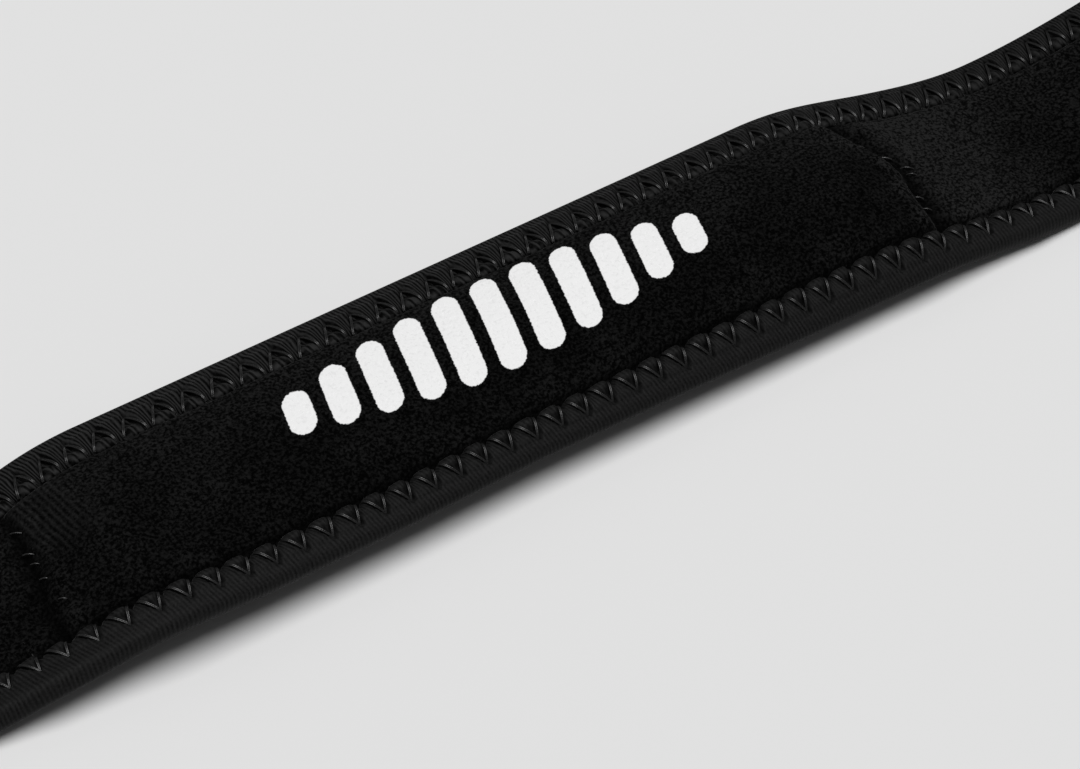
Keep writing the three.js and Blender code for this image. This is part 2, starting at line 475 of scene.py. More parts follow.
def motifMask(x, y, rough):
    spacing = (motif["right"] - motif["left"]) / motif["bars"] * mm
    centreX = (motif["right"] + motif["left"]) / 2 * mm
    up = y - motif["middleY"] * mm
    leaned = x - centreX - up * motif["lean"]
    index = (leaned / spacing).math("ROUND")
    inRow = (index.math("ABSOLUTE")).math("LESS_THAN", motif["bars"] / 2)
    sideways = (leaned - index * spacing).math("ABSOLUTE")
    swell = (index * (math.pi / motif["bars"])).math("COSINE")
    half = (swell * (motif["tall"] - motif["short"]) + motif["short"]) * (mm / 2)
    radius = motif["barWidth"] / 2 * mm
    beyond = (up.math("ABSOLUTE") - (half - radius)).math("MAXIMUM", 0.0)
    reach = (beyond * beyond + sideways * sideways).math("SQRT")
    edge = reach + (rough - 0.5) * (0.5 * mm)
    blur = motif["edgeBlur"] * mm
    return (1 - edge.ramp(radius - blur, radius + blur)) * inRow


def firstAxes(tree, vector):
    parts = tree.nodes.new("ShaderNodeSeparateXYZ")
    tree.links.new(vector.socket, parts.inputs[0])
    return Wire(tree, parts.outputs[0]), Wire(tree, parts.outputs[1])


# Pile face: crumbs of loops, painted sheen greyer where the far half tips away, painted shade beside the
# tape
def plushMaterial():
    material, tree = newMaterial("plush_loop", (0.01, 0.01, 0.01))
    place = objectPlace(tree)
    x, y = firstAxes(tree, place)
    edgeUv = addNode(tree, "ShaderNodeUVMap", {"uv_map": "pastTape"}, {})
    past = firstAxes(tree, edgeUv)[0]
    crumb = noise(tree, place, 1 / plush["grain"], 2.0, 0.6)
    patches = noise(tree, place, 90.0, 3.0)
    loops = addNode(tree, "ShaderNodeTexVoronoi", {}, {"Vector": place, "Scale": 0.8 / plush["grain"]})
    # painted sheen: lighter on the far half, which tips away, and on the slope past the right seam; random
    # patches added to it
    pastSeam = x.ramp(0.091, 0.098) * (1 - x.ramp(0.104, 0.128))
    sheenAndPatches = y.ramp(-0.004, 0.02) * plush["farSheen"] + pastSeam * plush["tailSheen"]
    sheenAndPatches = sheenAndPatches + (patches.ramp(0.35, 0.7) - 0.5) * plush["patchy"]
    # painted shade in the cross seams' grooves and painted highlight on the ridges beside them
    seam = meshShade(tree, "seam")
    groove = (seam * -1).math("MAXIMUM", 0.0)
    ridge = seam.math("MAXIMUM", 0.0)
    # creases beside the left seam: painted light and shade in rows across them, with bump
    nearSeam = (1 - x.ramp(-0.086, -0.077)) * x.ramp(-0.094, -0.09) * y.ramp(-0.003, 0.003)
    nearSeam = nearSeam * (1 - y.ramp(0.012, 0.018)) * patches.ramp(0.3, 0.55)
    rowPlace = (x + y * 0.115 + (patches - 0.5) * 0.001) * (2 * math.pi / (plush["wrinkles"] * mm))
    rows = rowPlace.math("SINE") * 0.5 + 0.5
    tone = crumb.ramp(0.36, 0.72) * (1 - nearSeam * 0.5) + rows * nearSeam * 0.55
    tone = tone * (0.52 + sheenAndPatches) + sheenAndPatches * 0.12
    # painted shade in the pile beside the tape, stronger on the near half
    pressed = 1 - (1 - past.ramp(0.2, plush["grooveWidth"])) * (0.6 - y.ramp(-0.004, 0.02) * 0.5)
    tone = tone * pressed * (1 - groove * (0.5 + patches.ramp(0.4, 0.6) * 0.4))
    tone = (tone + ridge * crumb.ramp(0.4, 0.6) * plush["ridgeHighlight"]).math("MINIMUM", 1.0)
    pile = mixColour(tree, tone, grey(plush["dark"]), grey(plush["light"]))
    ink = motifMask(x, y, crumb)
    inkTone = mixColour(tree, crumb.ramp(0.25, 0.5), grey(plush["ink"] * 0.9), grey(plush["ink"]))
    colour = mixColour(tree, ink, pile, inkTone)
    height = (crumb * 0.7 + loops * 0.5 + rows * nearSeam * 0.8) * (1 - ink * 0.8) + ink * 0.2
    inputs = {"Base Color": colour, "Roughness": 0.95, "Specular IOR Level": 0.0,
              "Sheen Weight": plush["sheen"], "Sheen Roughness": 0.35}
    finishMaterial(tree, inputs, height, 1.0, plush["bump"])
    return material


# Smooth knitted jersey: rows of tiny loops along the strap
def jerseyMaterial(name, low, high):
    material, tree = newMaterial(name, (0.015, 0.015, 0.016))
    place = objectPlace(tree)
    x, y = firstAxes(tree, place)
    wobble = noise(tree, place, 300.0)
    shift = (wobble - 0.5) * (0.3 * mm)
    wales = ((y + shift) * (2 * math.pi / (0.7 * mm))).math("SINE") * 0.5 + 0.5
    courses = ((x + shift) * (2 * math.pi / (0.5 * mm)) + wales * 1.6).math("SINE") * 0.5 + 0.5
    cloud = noise(tree, place, 60.0, 3.0)
    tone = wales * 0.45 + courses * 0.3 + cloud.ramp(0.3, 0.7) * 0.25
    colour = mixColour(tree, tone, grey(low), grey(high))
    height = wales * 0.6 + courses * 0.4
    inputs = {"Base Color": colour, "Roughness": 0.85, "Specular IOR Level": 0.15,
              "Sheen Weight": 0.08, "Sheen Roughness": 0.4}
    finishMaterial(tree, inputs, height, 0.8, 0.00012)
    return material


# Relief of the tape's face and the painted shade in its hollow, groove and notch: past is the distance from
# the needle hole towards the inner edge
def tapeRelief(grid, past, length, spread):
    half = grid["half"]
    away = np.abs(grid["offset"])
    part = past / length
    arm = spread * half * np.clip(part, 0, 1)
    hollow = np.exp(-(away / (0.9 * arm + 0.55)) ** 4) * (1 - ease(0.35, 0.75, part))
    hollow = hollow * ease(-0.9, -0.2, past)
    notch = (away / half) ** 6 * ease(length - 1.6, length - 0.3, past)
    groove = bell((away - arm) * 0.85, 0.35) * ease(-0.4, 0.5, past)
    lobe = np.clip(1 - (away / np.maximum(arm, 0.3)) ** 2, 0, 1) * ease(0.45, 0.8, part)
    between = ease(0.2, 1.2, away - arm) * bell(part - 0.3, 0.5) * ease(-0.8, 0.3, past)
    rise = tape["lobeHeight"] * lobe + tape["betweenHeight"] * between
    fall = tape["grooveDepth"] * groove + tape["hollowDepth"] * hollow + notch
    dark = [share * form for share, form in zip(tape["recessShade"], (hollow, groove, notch))]
    return rise - fall, np.clip(sum(dark), 0, 1)


# The edge tape: one section swept round the outline and puckered at each stitch
def makeTape():
    outline = makeOutline(stitchStations(tape["stations"]))
    count = len(outline["x"])
    grid = stitchGrid(outline["travel"])
    share = grid["share"]
    full = strap["edgeThickness"]
    fold = bySide(tape["fold"], outline["side"])
    square = bySide(tape["square"], outline["side"])
    reach = outline["reach"] + 0.2 - tape["lobe"] * np.abs(share) ** 5
    rows = []

    def skin(inset, height, pressed=0.0):
        rows.append((inset * np.ones(count), height * np.ones(count), pressed * np.ones(count)))

    puckerUnder = 0.3 * bell(grid["offset"], 1.0)
    skin(tape["under"] - 0.5 * np.abs(share) ** 3, 0.1)
    skin(tape["under"] - 1.2, puckerUnder * 0.6)
    skin(4.2, puckerUnder)
    skin(3.0, 0.0)
    for angle in np.radians(np.linspace(-80, 80, tape["roundSteps"])):
        round1 = abs(math.cos(angle)) ** square
        round2 = math.copysign(1, angle) * abs(math.sin(angle)) ** (square + 0.05)
        skin(fold * (1 - round1), full / 2 * (1 + round2))
    middleRow = 4 + tape["roundSteps"] // 2
    for step in range(tape["topSteps"] + 1):
        toEdge = step / tape["topSteps"]
        inset = fold + 0.1 + (reach - fold - 0.1) * toEdge
        past = inset - (outline["reach"] - outline["armLength"])
        relief, pressed = tapeRelief(grid, past, outline["armLength"], outline["armSpread"])
        curl = -0.3 * ease(0.88, 1.0, toEdge) - tape["settle"] * ease(0.1, 1.0, toEdge)
        skin(inset, full + relief * ease(0.0, 0.12, toEdge) + curl, pressed)
    lastInset, lastHeight, pressed = rows[-1]
    skin(lastInset + 0.22, lastHeight - 0.4)
    skin(lastInset + 0.14, lastHeight - 0.85)
    ceiling = full - tape["thickness"]
    skin(lastInset - 0.3, np.minimum(lastHeight - 1.0, ceiling))
    skin(3.2, ceiling)
    skin(1.4, ceiling - 0.1)
    skin(1.0, ceiling - 0.7)
    skin(1.0, tape["thickness"] + 0.7)
    skin(1.5, tape["thickness"] + 0.1)
    skin(tape["under"] - 0.5 * np.abs(share) ** 3, tape["thickness"])
    rings = []
    for inset, height, pressed in rows:
        x = outline["x"] + outline["inX"] * inset
        y = outline["y"] + outline["inY"] * inset
        rings.append(surfacePlace(x, y, height))
    mesh = meshFromRings("edgeTape", rings, True)
    # painted shade in the tape's hollows, grooves and notches
    addAttribute(mesh, "pressed", np.concatenate([row[2] for row in rows]))
    unrolled = np.zeros((len(rings), count))
    for r in range(1, len(rings)):
        unrolled[r] = unrolled[r - 1] + np.linalg.norm(rings[r] - rings[r - 1], axis=1)
    middle = unrolled[middleRow]
    layer = mesh.uv_layers.new(name="unrolled")
    corner = cornerVertices(mesh)
    ring = corner // count
    station = corner % count
    holeRow = unrolled[middleRow] + fold + outline["reach"] - outline["armLength"]
    fromNotch = grid["offset"] - np.sign(grid["offset"]) * grid["half"]
    drawn = tape["fan"] * fromNotch * np.clip(1 - np.abs(fromNotch) / tape["fanWidth"], 0, 1)
    past = unrolled[ring, station] - holeRow[station]
    fanned = drawn[station] * ease(-0.5, outline["armLength"][station], past)
    seam = np.zeros(len(corner))
    firstOfFace = np.repeat(station.reshape(-1, 4)[:, 0], 4)
    seam[(station == 0) & (firstOfFace == count - 1)] = path["perimeter"]
    evenTravel = stitchesUpTo(outline["travel"]) * path["perimeter"] / len(stitchTravel)
    u = (evenTravel[station] + seam + fanned) * mm
    v = (unrolled[ring, station] - middle[station]) * mm
    layer.data.foreach_set("uv", np.stack([u, v], axis=1).ravel())
    finishMesh(mesh)
    return addObject("edgeTape", mesh)


# Ribs across the tape, tied to the stitches' spacing; crisper along the far rim, and lighter there as
# painted sheen
def tapeMaterial():
    material, tree = newMaterial("ribbed_tape", (0.02, 0.02, 0.02))
    uv = addNode(tree, "ShaderNodeUVMap", {"uv_map": "unrolled"}, {})
    travel, unrolled = firstAxes(tree, uv)
    place = objectPlace(tree)
    x, y = firstAxes(tree, place)
    pressed = meshShade(tree, "pressed")
    wobble = noise(tree, place, 260.0)
    fine = noise(tree, place, 2600.0, 3.0)
    broken = noise(tree, place, 900.0)
    onFace = (unrolled - 2.5 * mm).math("MAXIMUM", 0.0)
    shifted = travel + onFace * tape["ribSlant"] + (wobble - 0.5) * (0.5 * mm)
    ribWidth = path["perimeter"] / round(path["perimeter"] / tape["ribPitch"]) * mm
    rib = (shifted * (2 * math.pi / ribWidth)).math("SINE") * 0.5 + 0.5
    # rib contrast stronger along the far rim and the left half; painted sheen lightens the far rim
    crispAndSheen = y.ramp(-0.012, 0.018) * (1 - x.ramp(0.01, 0.08) * 0.6) * 0.75 + 0.25
    tone = (rib - 0.5) * crispAndSheen * (0.6 + broken.ramp(0.3, 0.7) * 1.2) + 0.42 + crispAndSheen * 0.1
    # painted shade in the hollows, grooves and notches
    tone = (tone + (fine.ramp(0.35, 0.75) - 0.5) * 0.25) * (1 - pressed * 0.7)
    colour = mixColour(tree, tone.math("MAXIMUM", 0.0), grey(0.0006), grey(0.022))
    height = (rib * (0.6 + broken * 0.5) * crispAndSheen + fine * 0.2) * (1 - pressed * 0.5)
    inputs = {"Base Color": colour, "Roughness": 0.6, "Specular IOR Level": 0.05,
              "Sheen Weight": 0.06, "Sheen Roughness": 0.3}
    finishMaterial(tree, inputs, height, 1.0, 0.00015)
    return material


# Geometry Nodes: a shape is repeated on points that carry their own axes
def newTree(name, sizes):
    tree = bpy.data.node_groups.new(name, "GeometryNodeTree")
    face = tree.interface
    face.new_socket(name="Points", in_out="INPUT", socket_type="NodeSocketGeometry")
    for label, value in sizes.items():
        kind = "NodeSocketInt" if isinstance(value, int) else "NodeSocketFloat"
        face.new_socket(name=label, in_out="INPUT", socket_type=kind).default_value = value
    face.new_socket(name="Material", in_out="INPUT", socket_type="NodeSocketMaterial")
    face.new_socket(name="Mesh", in_out="OUTPUT", socket_type="NodeSocketGeometry")
    source = tree.nodes.new("NodeGroupInput")
    wires = {socket.name: Wire(tree, socket) for socket in source.outputs if socket.name}
    return tree, wires


def vector(tree, x, y, z):
    return addNode(tree, "ShaderNodeCombineXYZ", {}, [x, y, z])


def strand(tree, start, middle, end, steps):
    settings = {"Resolution": steps, "Start": start, "Middle": middle, "End": end}
    return addNode(tree, "GeometryNodeCurveQuadraticBezier", {}, settings)


def joined(tree, pieces):
    join = tree.nodes.new("GeometryNodeJoinGeometry")
    for piece in pieces:
        tree.links.new(piece.socket, join.inputs[0])
    return Wire(tree, join.outputs[0])


def pointValue(tree, name, kind):
    return addNode(tree, "GeometryNodeInputNamedAttribute", {"data_type": kind}, {"Name": name})


# Tubes along the strands, one set on each point, each a little different
def repeatOnPoints(tree, wires, strands, sides):
    profile = addNode(tree, "GeometryNodeCurvePrimitiveCircle", {},
                      {"Resolution": sides, "Radius": wires["Thread Radius"]})
    tubes = addNode(tree, "GeometryNodeCurveToMesh", {},
                    {"Curve": joined(tree, strands), "Profile Curve": profile, "Fill Caps": True})
    smooth = addNode(tree, "GeometryNodeSetShadeSmooth", {}, {"Geometry": tubes})
    axes = {"Primary Axis": pointValue(tree, "outward", "FLOAT_VECTOR"),
            "Secondary Axis": pointValue(tree, "along", "FLOAT_VECTOR")}
    settings = {"primary_axis": "Z", "secondary_axis": "X"}
    turn = addNode(tree, "FunctionNodeAxesToRotation", settings, axes)
    uneven = wires["Unevenness"]
    scales = []
    for index in range(3):
        node = tree.nodes.new("FunctionNodeRandomValue")
        node.data_type = "FLOAT"
        tree.links.new((1 - uneven).socket, node.inputs[2])
        tree.links.new((1 + uneven).socket, node.inputs[3])
        tree.links.new((wires["Seed"] + index).socket, node.inputs["Seed"])
        scales.append(Wire(tree, node.outputs[1]))
    scales[1] = scales[1] * pointValue(tree, "stretch", "FLOAT")
    copies = addNode(tree, "GeometryNodeInstanceOnPoints", {},
                     {"Points": wires["Points"], "Instance": smooth, "Rotation": turn,
                      "Scale": vector(tree, *scales)})
    real = addNode(tree, "GeometryNodeRealizeInstances", {}, {"Geometry": copies})
    painted = addNode(tree, "GeometryNodeSetMaterial", {},
                      {"Geometry": real, "Material": wires["Material"]})
    output = tree.nodes.new("NodeGroupOutput")
    tree.links.new(painted.socket, output.inputs[0])


# Arm of an edge stitch: a doubled thread climbs from the needle hole over the tape and dives
# beside the notch. The point's stretch fits its length.
def armTree():
    sizes = {"Arm Length": stitch["armLength"] * mm, "Crest": 1.1 * mm, "Hole Depth": 0.8 * mm,
             "Dive": 0.5 * mm, "Strand Gap": 0.26 * mm, "Thread Radius": 0.17 * mm,
             "Unevenness": 0.07, "Arm Steps": 9, "Seed": 3}
    tree, wires = newTree("stitchArm", sizes)
    length = wires["Arm Length"]
    deep = wires["Hole Depth"] * -1
    strands = []
    for shift in (-0.5, 0.5):
        apart = wires["Strand Gap"] * shift
        settings = {"Resolution": wires["Arm Steps"], "Start": vector(tree, apart * 0.6, 0.0, deep),
                    "Start Handle": vector(tree, apart, length * 0.2, 0.0),
                    "End Handle": vector(tree, apart, length * 0.9, wires["Crest"]),
                    "End": vector(tree, apart, length * 1.04, wires["Dive"] * -1)}
        strands.append(addNode(tree, "GeometryNodeCurvePrimitiveBezierSegment", {}, settings))
    repeatOnPoints(tree, wires, strands, 5)
    return tree


# Straight stitch: one arched thread along the row
def barTree():
    sizes = {"Stitch Length": 2.4 * mm, "Arch": 0.35 * mm, "Hole Depth": 0.3 * mm,
             "Thread Radius": 0.17 * mm, "Unevenness": 0.12, "Arm Steps": 6, "Seed": 5}
    tree, wires = newTree("barStitch", sizes)
    half = wires["Stitch Length"] * 0.5
    deep = wires["Hole Depth"] * -1
    start = vector(tree, half * -1, 0.0, deep)
    middle = vector(tree, 0.0, 0.0, wires["Arch"] + wires["Hole Depth"])
    strands = [strand(tree, start, middle, vector(tree, half, 0.0, deep), wires["Arm Steps"])]
    repeatOnPoints(tree, wires, strands, 5)
    return tree


# Moulded hook: a stem that bends over and points back
def hookTree():
    sizes = {"Hook Height": 0.8 * mm, "Hook Reach": 0.45 * mm, "Thread Radius": 0.11 * mm,
             "Unevenness": 0.06, "Arm Steps": 4, "Seed": 9}
    tree, wires = newTree("hook", sizes)
    tall = wires["Hook Height"]
    wide = wires["Hook Reach"]
    stem = strand(tree, vector(tree, 0.0, 0.0, tall * -0.1), vector(tree, 0.0, 0.0, tall * 1.25),
                  vector(tree, wide, 0.0, tall * 0.62), wires["Arm Steps"])
    repeatOnPoints(tree, wires, [stem], 4)
    return tree


# Points with their axes, grown into a plain mesh by a tree; sizes override the tree's own
def grow(name, places, along, outward, tree, material, sizes, stretch=1.0):
    cloud = bpy.data.meshes.new(name + "Points")
    cloud.from_pydata((np.asarray(places) * mm).tolist(), [], [])
    addAttribute(cloud, "along", along, "FLOAT_VECTOR")
    addAttribute(cloud, "outward", outward, "FLOAT_VECTOR")
    addAttribute(cloud, "stretch", np.ones(len(places)) * stretch)
    item = addObject(name, cloud)
    modifier = item.modifiers.new("repeat", "NODES")
    modifier.node_group = tree
    given = {**sizes, "Material": material}
    for socket in tree.interface.items_tree:
        if socket.name in given:
            modifier[socket.identifier] = given[socket.name]
    graph = bpy.context.evaluated_depsgraph_get()
    mesh = bpy.data.meshes.new_from_object(item.evaluated_get(graph))
    item.modifiers.clear()
    item.data = mesh
    bpy.data.meshes.remove(cloud)
    return item


def unit(vectors):
    return vectors / np.linalg.norm(vectors, axis=1)[:, None]


# Places on the strap's face or underside at an inset from the outline, with their normals
def facePoints(travel, inset, height):
    outline = makeOutline(travel)
    ahead = makeOutline(travel + 0.5)

    def place(line, depth):
        x = line["x"] + line["inX"] * depth
        y = line["y"] + line["inY"] * depth
        return surfacePlace(x, y, height)

    depth = inset(outline)
    here = place(outline, depth)
    along = unit(place(ahead, depth) - here)
    across = unit(place(outline, depth + 1.0) - here)
    return here, unit(np.cross(along, across))


def threadMaterial():
    material, tree = newMaterial("polyester_thread", (0.05, 0.05, 0.05))
    place = objectPlace(tree)
    fibre = noise(tree, place, 3500.0)
    colour = mixColour(tree, fibre.ramp(0.35, 0.65), grey(0.008), grey(0.016))
    inputs = {"Base Color": colour, "Roughness": 0.3, "Specular IOR Level": 0.5}
    finishMaterial(tree, inputs, fibre, 0.6, 0.00005)
    return material


band = {
    "stations": (0, 0.25, 0.48, 0.7, 0.88, 1, -0.88, -0.7, -0.48, -0.25),
    "crossRows": 30,
    "seamDepth": 1.4,
    "ridgeHeight": 0.6,
    "ridgeInset": 3.6,
    "flat": 2.8,  # where the face lies level, past the tape
    "waves": ((0.12, 0.21, 0.13, 0), (0.1, 0.083, -0.31, 2)),
    "grain": 0.1,
    "seed": 7,
}


# The two cross seams wander
seamLine = {"y": (-16, -8, -5, -1, 3, 8, 14),
            "left": (-96.0, -95.7, -94.4, -93.2, -92.6, -91.9, -92.2),
            "right": (90.6, 91.1, 91.6, 92.8, 92.2, 89.6, 87.8)}


# Dent and ridge of the plush face at each cross seam, each as a share
def seamShares(x, y):
    left = np.interp(y, seamLine["y"], seamLine["left"])
    right = np.interp(y, seamLine["y"], seamLine["right"])
    past = np.where(x < 0, left - x, x - right)
    groove = bell(past, 1.4) + 0.6 * bell(past - 2.2, 1.0) * (0.5 + 0.5 * np.sin(y * 1.3 + 1))
    ridge = bell(past + band["ridgeInset"], 1.3) * (0.6 + 0.4 * np.sin(y * 0.9))
    return groove, ridge * np.where(x < 0, 0.4, 1)


def seamRelief(x, y):
    groove, ridge = seamShares(x, y)
    return ridge * band["ridgeHeight"] - groove * band["seamDepth"]


def makeBand():
    outline = makeOutline(stitchStations(band["stations"]))
    count = len(outline["x"])
    share = stitchGrid(outline["travel"])["share"]
    reach = outline["reach"]
    low = tape["thickness"] + 0.3
    full = strap["edgeThickness"]
    high = full - tape["thickness"] - 0.3
    top = strap["faceThickness"]
    rng = np.random.default_rng(band["seed"])
    pull = 0.45 * np.abs(share) ** 3
    rows = []  # inset, height, share of the way to the centre line, relief, past the tape

    def skin(inset, height, toCentre=0.0, relief=0.0, past=3.0):
        rows.append((inset * np.ones(count), height * np.ones(count), toCentre, relief, past))

    for toCentre in (1.0, 0.75, 0.5, 0.25, 0.0):
        skin(reach + 1.9, 0.0, toCentre)
    skin(reach + 1.0, low * 0.15)
    skin(reach + 0.5, low * 0.5)
    skin(reach + 0.3, low)
    skin(2.0, low)
    skin(1.35, low + 0.6)
    skin(1.35, high - 0.6)
    skin(2.0, high)
    skin(reach - 1.4, high, 0.0, 0.0, 0.0)
    profile = ((0.2, 0.05), (0.5, 0.3), (0.8, 0.55), (1.1, 0.75), (1.6, 0.92), (2.2, 0.99))
    for past, rise in profile:
        skin(reach + past, high + (top - high) * rise - pull * (1 - rise), 0.0, rise, past)
    for step in range(band["crossRows"] + 1):
        skin(reach + band["flat"], top, step / band["crossRows"], 1.0, 3.0)
    underRows = 9
    rings = []
    seamTone = []
    for inset, height, toCentre, relief, past in rows:
        x = outline["x"] + outline["inX"] * inset
        y = outline["y"] + outline["inY"] * inset
        x = x + (outline["spineX"] - x) * toCentre
        y = y * (1 - toCentre)
        bumps = band["grain"] * relief * (rng.random(count) * 2 - 1)
        if toCentre == 1.0:
            bumps = 0.0
        waves = sum(tall * np.sin(x * turnX + y * turnY + start)
                    for tall, turnX, turnY, start in band["waves"])
        lift = relief * (seamRelief(x, y) + waves) + bumps
        groove, ridge = seamShares(x, y)
        # seam shares for the pile's painted shade in the grooves and painted highlight on the ridges
        seamTone.append(np.clip(ridge - groove, -1, 1) * (relief > 0))
        rings.append(surfacePlace(x, y, height + lift))
    mesh = meshFromRings("plushBand", rings, False)
    addAttribute(mesh, "seam", np.concatenate(seamTone))
    layer = mesh.uv_layers.new(name="pastTape")
    corner = cornerVertices(mesh)
    pastOf = np.array([row[4] for row in rows])
    uv = np.stack([pastOf[corner // count], share[corner % count]], axis=1)
    layer.data.foreach_set("uv", uv.ravel())
    facesBelow = np.arange(len(mesh.polygons)) < underRows * count
    mesh.polygons.foreach_set("material_index", facesBelow.astype(np.int32))
    finishMesh(mesh, 0.002)
    return addObject("plushBand", mesh)


pad = {
    "width": (padHigh.y - padLow.y) / mm,
    "footWidth": 26.0,
    "endX": padHigh.x / mm,
    "endRound": 10.0,
    "sideHeight": 4.2,
    "stationStep": 1.4,
    "aroundSteps": 56,
    "endNarrowing": 0.25,
    "gatherCount": 14,
    "gathers": 0.35,  # folds at both ends, where the tube is sewn in
}


# Tubular pad: flat where it stands, full under the crown, gathered a little at both ends
def makePad():
    count = 2 * int(pad["endX"] / pad["stationStep"]) + 1
    around = pad["aroundSteps"]
    angle = np.linspace(0, 2 * math.pi, around, endpoint=False)
    upper = np.sin(angle) >= 0
    sections = []
    for x in np.linspace(-pad["endX"], pad["endX"], count):
        run = min(1.0, (pad["endX"] - abs(x)) / pad["endRound"])
        full = math.sqrt(max(0.0, 1 - (1 - run) ** 2))
        narrow = 1 - pad["endNarrowing"] * (1 - full)
        half = pad["width"] / 2 * narrow
        y = half * np.cos(angle)
        ceiling = underside(np.full(around, x), y) - strap["clearance"]
        side = np.minimum(pad["sideHeight"], ceiling * 0.6) * (0.4 + 0.6 * full)
        over = side + (ceiling - side) * np.sqrt(np.abs(np.sin(angle))) * full
        foot = pad["footWidth"] / 2 * narrow
        outside = np.clip((np.abs(y) - foot) / (half - foot), 0, 1)
        below = side * (1 - np.sqrt(1 - outside ** 2))
        gather = pad["gathers"] * 4 * run * (1 - run) * np.sin(angle * pad["gatherCount"])
        height = np.where(upper, over, below)
        y = y - np.cos(angle) * np.maximum(gather, 0)
        sections.append(np.stack([np.full(around, x), y, height], axis=1))
    points = np.concatenate(sections) * mm
    faces = [tuple(range(around)), tuple(range((count - 1) * around, count * around))]
    for r in range(count - 1):
        for i in range(around):
            j = (i + 1) % around
            faces.append((r * around + i, r * around + j, (r + 1) * around + j, (r + 1) * around + i))
    mesh = bpy.data.meshes.new("tubePad")
    mesh.from_pydata(points.tolist(), [], faces)
    finishMesh(mesh, 0.01)
    return addObject("tubePad", mesh)


tab = {
    "left": tabLow.x / mm,
    "right": tabHigh.x / mm,
    "width": (tabHigh.y - tabLow.y) / mm,
    "cornerRadius": 5.0,
    "plate": 0.8,
    "hookSpacing": 1.5,
    "hookMargin": 2.6,
    "seamInset": 1.5,
    "seamStitch": 3.1,
}


# Rounded rectangle, counterclockwise, drawn in by an inset
def tabOutline(inset, step):
    halfX = (tab["right"] - tab["left"]) / 2 - inset
    halfY = tab["width"] / 2 - inset
    radius = max(tab["cornerRadius"] - inset, 0.5)
    corners = []
    for turn, (sx, sy) in enumerate(((1, 1), (-1, 1), (-1, -1), (1, -1))):
        for angle in np.linspace(turn * math.pi / 2, (turn + 1) * math.pi / 2, 9):
            corners.append((sx * (halfX - radius) + radius * math.cos(angle),
                            sy * (halfY - radius) + radius * math.sin(angle)))
    loop = np.array(corners + corners[:1])
    travel = np.append(0, np.cumsum(np.hypot(*np.diff(loop, axis=0).T)))
    count = round(travel[-1] / step)
    at = np.arange(count) * travel[-1] / count
    centre = (tab["left"] + tab["right"]) / 2
    return np.interp(at, travel, loop[:, 0]) + centre, np.interp(at, travel, loop[:, 1])


def tabSurface(x, y, depth):
    return np.stack([x, y, underside(x, y) - strap["clearance"] - depth], axis=1)


def makeTab():
    rings = []
    x, y = tabOutline(0.0, 1.0)
    centre = (tab["left"] + tab["right"]) / 2
    spine = (tab["right"] - tab["left"] - tab["width"]) / 2
    spineX = centre + np.clip(x - centre, -spine, spine)
    plate = tab["plate"]
    rows = ((1.0, plate), (0.5, plate), (0.02, plate), (0.0, plate * 0.7), (0.0, plate * 0.3), (0.02, 0.0),
            (0.5, 0.0), (1.0, 0.0))
    for toCentre, depth in rows:
        rings.append(tabSurface(x + (spineX - x) * toCentre, y * (1 - toCentre), depth))
    mesh = meshFromRings("hookPlate", rings, False)
    finishMesh(mesh, 0.002)
    return addObject("hookPlate", mesh)


# Places on the tab's lower side with their axes
def tabPoints(x, y):
    here = tabSurface(x, y, tab["plate"])
    along = unit(tabSurface(x + 0.5, y, tab["plate"]) - here)
    across = unit(tabSurface(x, y + 0.5, tab["plate"]) - here)
    return here, along, -unit(np.cross(along, across))


def hookPlaces():
    margin = tab["hookMargin"]
    rowsX = np.arange(tab["left"] + margin, tab["right"] - margin, tab["hookSpacing"])
    rowsY = np.arange(-tab["width"] / 2 + margin, tab["width"] / 2 - margin, tab["hookSpacing"])
    x, y = np.meshgrid(rowsX, rowsY)
    x = x + (np.arange(len(rowsY)) % 2)[:, None] * tab["hookSpacing"] / 2
    centre = (tab["left"] + tab["right"]) / 2
    corner = tab["cornerRadius"]
    beyondX = np.maximum(np.abs(x - centre) - (tab["right"] - tab["left"]) / 2 + corner, 0)
    beyondY = np.maximum(np.abs(y) - tab["width"] / 2 + corner, 0)
    keep = np.hypot(beyondX, beyondY) < corner - margin * 0.8
    return x[keep], y[keep]


def tabMaterial():
    material, tree = newMaterial("hook_tape", (0.014, 0.014, 0.015))
    place = objectPlace(tree)
    x, y = firstAxes(tree, place)
    weft = (x * (2 * math.pi / (0.55 * mm))).math("SINE") * (y * (2 * math.pi / (0.55 * mm))).math("SINE")
    cloud = noise(tree, place, 400.0, 3.0)
    tone = weft * 0.25 + 0.4 + cloud.ramp(0.3, 0.7) * 0.3
    colour = mixColour(tree, tone, grey(0.006), grey(0.02))
    inputs = {"Base Color": colour, "Roughness": 0.45, "Specular IOR Level": 0.4}
    finishMaterial(tree, inputs, weft, 0.5, 0.00008)
    return material


# Camera fitted to the photograph: where it looks, from which side, and how far
view = {
    "lookAt": (6.37, -8.09, 8.0),
    "azimuth": -35.837,
    "elevation": 46.907,
    "roll": 2.734,
    "distance": 955.2,
    "lens": 176.42,
}


